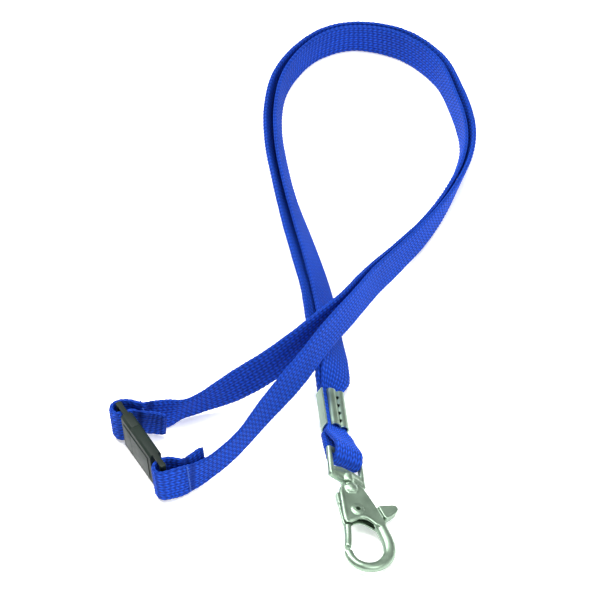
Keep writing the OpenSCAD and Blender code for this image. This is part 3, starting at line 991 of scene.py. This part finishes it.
class LANYARD_OT_hook(bpy.types.Operator):
    """Casts the hook: swivel collar, rimmed body with its slot, and the ring"""

    bl_idname = "lanyard.hook"
    bl_label = "Hook casting"

    def execute(self, context):
        s = context.scene.lanyard_hardware
        ring = smooth_line([(*p, r) for p, r in zip(HOOK_RING, RING_RADII)], 6)
        parts = [
            plate(HOOK_PLATE, -HOOK_T / 2, HOOK_T / 2),
            rod(ring[:, :3], ring[:, 3], 28, flat=0.88),
            lathe([(1.7, -1.9), (2.2, -2.05), (2.6, -2.5), (2.7, -3.2), (2.65, -4.4), (2.2, -5.4)],
                  (0, 0, 0), (0, 1, 0)),
        ]
        for line, radii in (
            ([(-2.6, -3.1, 0.7), (-3.3, -5.4, 0.95), (-3.95, -11, 1.05), (-4.2, -13.5, 1.0), (-4.3, -15.9, 0.8)],
             [0.9, 0.85, 0.85, 0.85, 0.8]),
            ([(2.6, -3.1, 0.7), (3.9, -6.2, 0.8), (5.2, -10.2, 0.8), (6.4, -14.6, 0.6)], [0.9, 0.85, 0.85, 0.95]),
            ([(-4.0, -15.8, 0.9), (-2.4, -15.6, 1.15), (0.4, -14.3, 1.2), (2.8, -15.1, 1.1), (5, -17.4, 0.9)],
             [0.75, 0.75, 0.75, 0.8, 0.8]),
        ):
            fine = smooth_line([(*p, r) for p, r in zip(line, radii)], 6)
            parts.append(rod(fine[:, :3], fine[:, 3], 16))
        parts.append(lathe([(2.1, 1.5), (1.9, 1.95), (1.25, 2.15)], (RIVET_AT[0], RIVET_AT[1], 0), (0, 0, 1)))
        obj = joined("hook_casting", parts)
        settle(obj, Matrix.Scale(MM, 4))
        cast(obj, s.voxel, 0)
        slot = plate(HOOK_SLOT, -SLOT_T / 2, SLOT_T / 2)
        settle(slot, Matrix.Scale(MM, 4))
        cut(obj, slot)
        bore = lathe([(0.78, 0.9), (0.78, 4)], (RIVET_AT[0], RIVET_AT[1], 0), (0, 0, 1))
        settle(bore, Matrix.Scale(MM, 4))
        cut(obj, bore)
        settle(obj, hook_frame() @ Matrix.Scale(1 / MM, 4))
        cast(obj, s.voxel, 5)
        shade_by_angle(obj, 60)
        dressed(obj, finish_of("satin_nickel", nickel_finish, s), "nickel", "hook", "hook_body")
        return {"FINISHED"}


class LANYARD_OT_rivet(bpy.types.Operator):
    """Turns the tubular rivet the gate swings on, and its wire spring"""

    bl_idname = "lanyard.rivet"
    bl_label = "Rivet and spring"

    def execute(self, context):
        s = context.scene.lanyard_hardware
        rivet = lathe([(0.62, -1.9), (0.98, -1.95), (1.02, -1.6), (0.95, -1.4), (0.95, 1.4), (1.0, 1.8),
                       (0.92, 2.18), (0.75, 2.2), (0.66, 1.9), (0.62, 0.4)], (*RIVET_AT, 0), (0, 0, 1), 36)
        settle(rivet, hook_frame())
        rivet.name = "rivet_tube"
        shade_by_angle(rivet, 35)
        dressed(rivet, finish_of("satin_nickel", nickel_finish, s), "nickel", "hook", "gate_rivet")
        turns = []
        for k in range(COIL_STEPS + 1):
            a = k / COIL_STEPS * math.radians(COIL_DEGREES)
            turns.append((COIL_R * math.cos(a), RIVET_AT[1] + COIL_R * math.sin(a), 0.78 + 0.0025 * k))
        turns += [(-1.9, -13.1, 0.93), (-2.6, -13.3, 0.9), (-3.2, -13.4, 0.86)]
        wire = rod(turns, [WIRE_R] * len(turns), 10)
        settle(wire, hook_frame())
        wire.name = "spring_coil"
        shade_by_angle(wire, 60)
        dressed(wire, finish_of("spring_wire", steel_finish), "spring_steel", "hook", "gate_spring")
        return {"FINISHED"}


GATE_PLATE = [
    (-4.8, -4.8), (-3.4, -4.7), (-1.2, -5.6), (2, -8.6), (5.2, -9.9), (7.4, -10.2), (8.4, -14.2), (5.4, -14.6),
    (2.6, -14.3), (0, -14), (-2.2, -14.9), (-3, -16.4), (-3.4, -18.4), (-5, -18.6), (-5.3, -15.6), (-5.2, -12),
    (-5, -8),
]


class LANYARD_OT_gate(bpy.types.Operator):
    """Casts the gate lever: slotted plate, closing rod and thumb pad"""

    bl_idname = "lanyard.gate"
    bl_label = "Gate lever"

    def execute(self, context):
        s = context.scene.lanyard_hardware
        rods = smooth_line([(-4.1, -17.0, 0, 1.15), (-4.7, -20.4, 0, 1.1), (-5.3, -23, 0, 1.12),
                            (-5.8, -24.7, 0, 1.15), (-5.95, -25.3, 0, 1.05)], 8)
        pad = [
            (7, -10.1), (9.8, -9.8), (12.5, -9.8), (13.3, -10.6), (13, -12), (11.2, -13.5), (8.9, -14.9),
            (8.1, -14.2),
        ]
        heel = [(-4.9, -4.6), (-3.6, -4.5), (-3.7, -8.6), (-5.1, -8.8)]
        lip = smooth_line([(8.8, -14.1, 0.6, 0.7), (10.8, -12.9, 0.7, 0.75), (12.3, -11.6, 0.6, 0.75),
                           (12.3, -10.7, 0.4, 0.65)], 6)
        obj = joined("gate_casting", [
            plate(GATE_PLATE, -0.55, 0.55), rod(rods[:, :3], rods[:, 3], 24, flat=1.15),
            plate(smooth_line(pad, 3).tolist(), -1.35, 1.35), rod(lip[:, :3], lip[:, 3], 16),
            plate(heel, -0.9, 0.9),
        ])
        settle(obj, Matrix.Scale(MM, 4))
        cast(obj, s.voxel, 0)
        bore = lathe([(1.08, -4), (1.08, 4)], (*RIVET_AT, 0), (0, 0, 1))
        settle(bore, Matrix.Scale(MM, 4))
        cut(obj, bore)
        settle(obj, hook_frame() @ Matrix.Scale(1 / MM, 4))
        cast(obj, s.voxel, 5)
        shade_by_angle(obj, 60)
        dressed(obj, finish_of("satin_nickel", nickel_finish, s), "nickel", "gate", "gate_lever")
        return {"FINISHED"}


# ---- clasp ----
class LANYARD_OT_clasp(bpy.types.Operator):
    """Finishes both moulded clasp halves with rounded edges"""

    bl_idname = "lanyard.clasp"
    bl_label = "Clasp halves"

    def execute(self, context):
        s = context.scene.lanyard_clasp
        plastic = finish_of("moulded_black", plastic_finish, s)
        for name, body, node in (
            ("socket_half", "lanyard", "female_clasp"), ("plug_half", "clasp_male_half", "male_clasp"),
        ):
            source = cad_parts[node]
            obj = bpy.data.objects.new(name, source.data.copy())
            context.scene.collection.objects.link(obj)
            work = bmesh.new()
            work.from_mesh(obj.data)
            bmesh.ops.remove_doubles(work, verts=work.verts, dist=1e-6)
            bmesh.ops.dissolve_limit(work, angle_limit=math.radians(1), verts=work.verts, edges=work.edges)
            work.to_mesh(obj.data)
            work.free()
            edge = obj.modifiers.new("round", "BEVEL")
            edge.width = s.round_edge
            edge.segments = 3
            edge.limit_method = "ANGLE"
            edge.angle_limit = math.radians(30)
            edge.use_clamp_overlap = True
            apply_all(obj)
            shade_by_angle(obj, 35)
            dressed(obj, plastic, "clasp_plastic", body, node)
        return {"FINISHED"}


# ---- stage ----
class LANYARD_OT_stage(bpy.types.Operator):
    """Sets the camera, the soft lights and the pale table"""

    bl_idname = "lanyard.stage"
    bl_label = "Camera, light and table"

    def execute(self, context):
        s = context.scene.lanyard_stage
        centre = SHIFT * MM
        back = Vector((0, -math.cos(s.height), math.sin(s.height)))
        data = bpy.data.cameras.new("camera")
        data.lens = s.lens
        data.sensor_width = 36
        data.clip_end = 20
        camera = bpy.data.objects.new("camera", data)
        camera.location = centre + back * s.distance
        camera.rotation_euler = (math.pi / 2 - s.height, 0, 0)
        context.scene.collection.objects.link(camera)
        context.scene.camera = camera

        bpy.ops.mesh.primitive_plane_add(size=8, location=(0, 0, CAD_BOX[0][2] - 0.0001))
        table = context.active_object
        table.name = "table"
        f = Finish("pale_table")
        cloud = f.noise(f.spot(), 3.0)
        f.surface(Base_Color=f.blend(cloud, rgba(s.floor), rgba(s.floor, 1.02)), Roughness=0.75,
                  Specular_IOR_Level=0.2, Emission_Color=(1.0, 1.0, 1.0, 1.0), Emission_Strength=s.glow)
        table.data.materials.append(f.material)

        for name, place, size, power in (
            ("key", (-0.9, 0.5, 1.5), 0.9, 34.0),
            ("fill", (1.2, -0.8, 1.0), 0.9, 14.0),
            ("top", (0.1, -0.1, 1.9), 1.2, 34.0),
        ):
            light = bpy.data.lights.new(name, "AREA")
            light.shape = "DISK"
            light.size = size
            light.energy = power
            lamp = bpy.data.objects.new(name, light)
            lamp.location = place
            lamp.rotation_euler = (-Vector(place)).to_track_quat("-Z", "Y").to_euler()
            context.scene.collection.objects.link(lamp)
        world = bpy.data.worlds.new("studio")
        world.use_nodes = True
        sky = world.node_tree.nodes["Background"]
        sky.inputs["Color"].default_value = (1, 1, 1, 1)
        sky.inputs["Strength"].default_value = s.sky
        context.scene.world = world
        context.scene.view_settings.view_transform = "Standard"
        return {"FINISHED"}


OPERATORS = (
    LANYARD_OT_stage, LANYARD_OT_strap_runs, LANYARD_OT_hook_fold, LANYARD_OT_stitching, LANYARD_OT_crimp,
    LANYARD_OT_eye, LANYARD_OT_hook, LANYARD_OT_rivet, LANYARD_OT_gate, LANYARD_OT_clasp,
)


class LANYARD_PT_sidebar(bpy.types.Panel):
    """Lists the lanyard's steps and their settings"""

    bl_idname = "LANYARD_PT_sidebar"
    bl_label = "Neck lanyard"
    bl_space_type = "VIEW_3D"
    bl_region_type = "UI"
    bl_category = "Lanyard"

    def draw(self, context):
        for key, group in SETTINGS:
            box = self.layout.box()
            for name in group.__annotations__:
                box.prop(getattr(context.scene, key), name)
        for step in OPERATORS:
            self.layout.operator(step.bl_idname)


def register():
    for cls in [group for _, group in SETTINGS] + list(OPERATORS) + [LANYARD_PT_sidebar]:
        bpy.utils.register_class(cls)
    for key, group in SETTINGS:
        setattr(bpy.types.Scene, key, bpy.props.PointerProperty(type=group))


def unregister():
    for key, _ in SETTINGS:
        delattr(bpy.types.Scene, key)
    for cls in [LANYARD_PT_sidebar] + list(OPERATORS) + [group for _, group in SETTINGS]:
        bpy.utils.unregister_class(cls)


def main():
    register()
    for step in OPERATORS:
        area, name = step.bl_idname.split(".")
        getattr(getattr(bpy.ops, area), name)()
    bpy.context.view_layer.update()


if __name__ == "__main__":
    main()
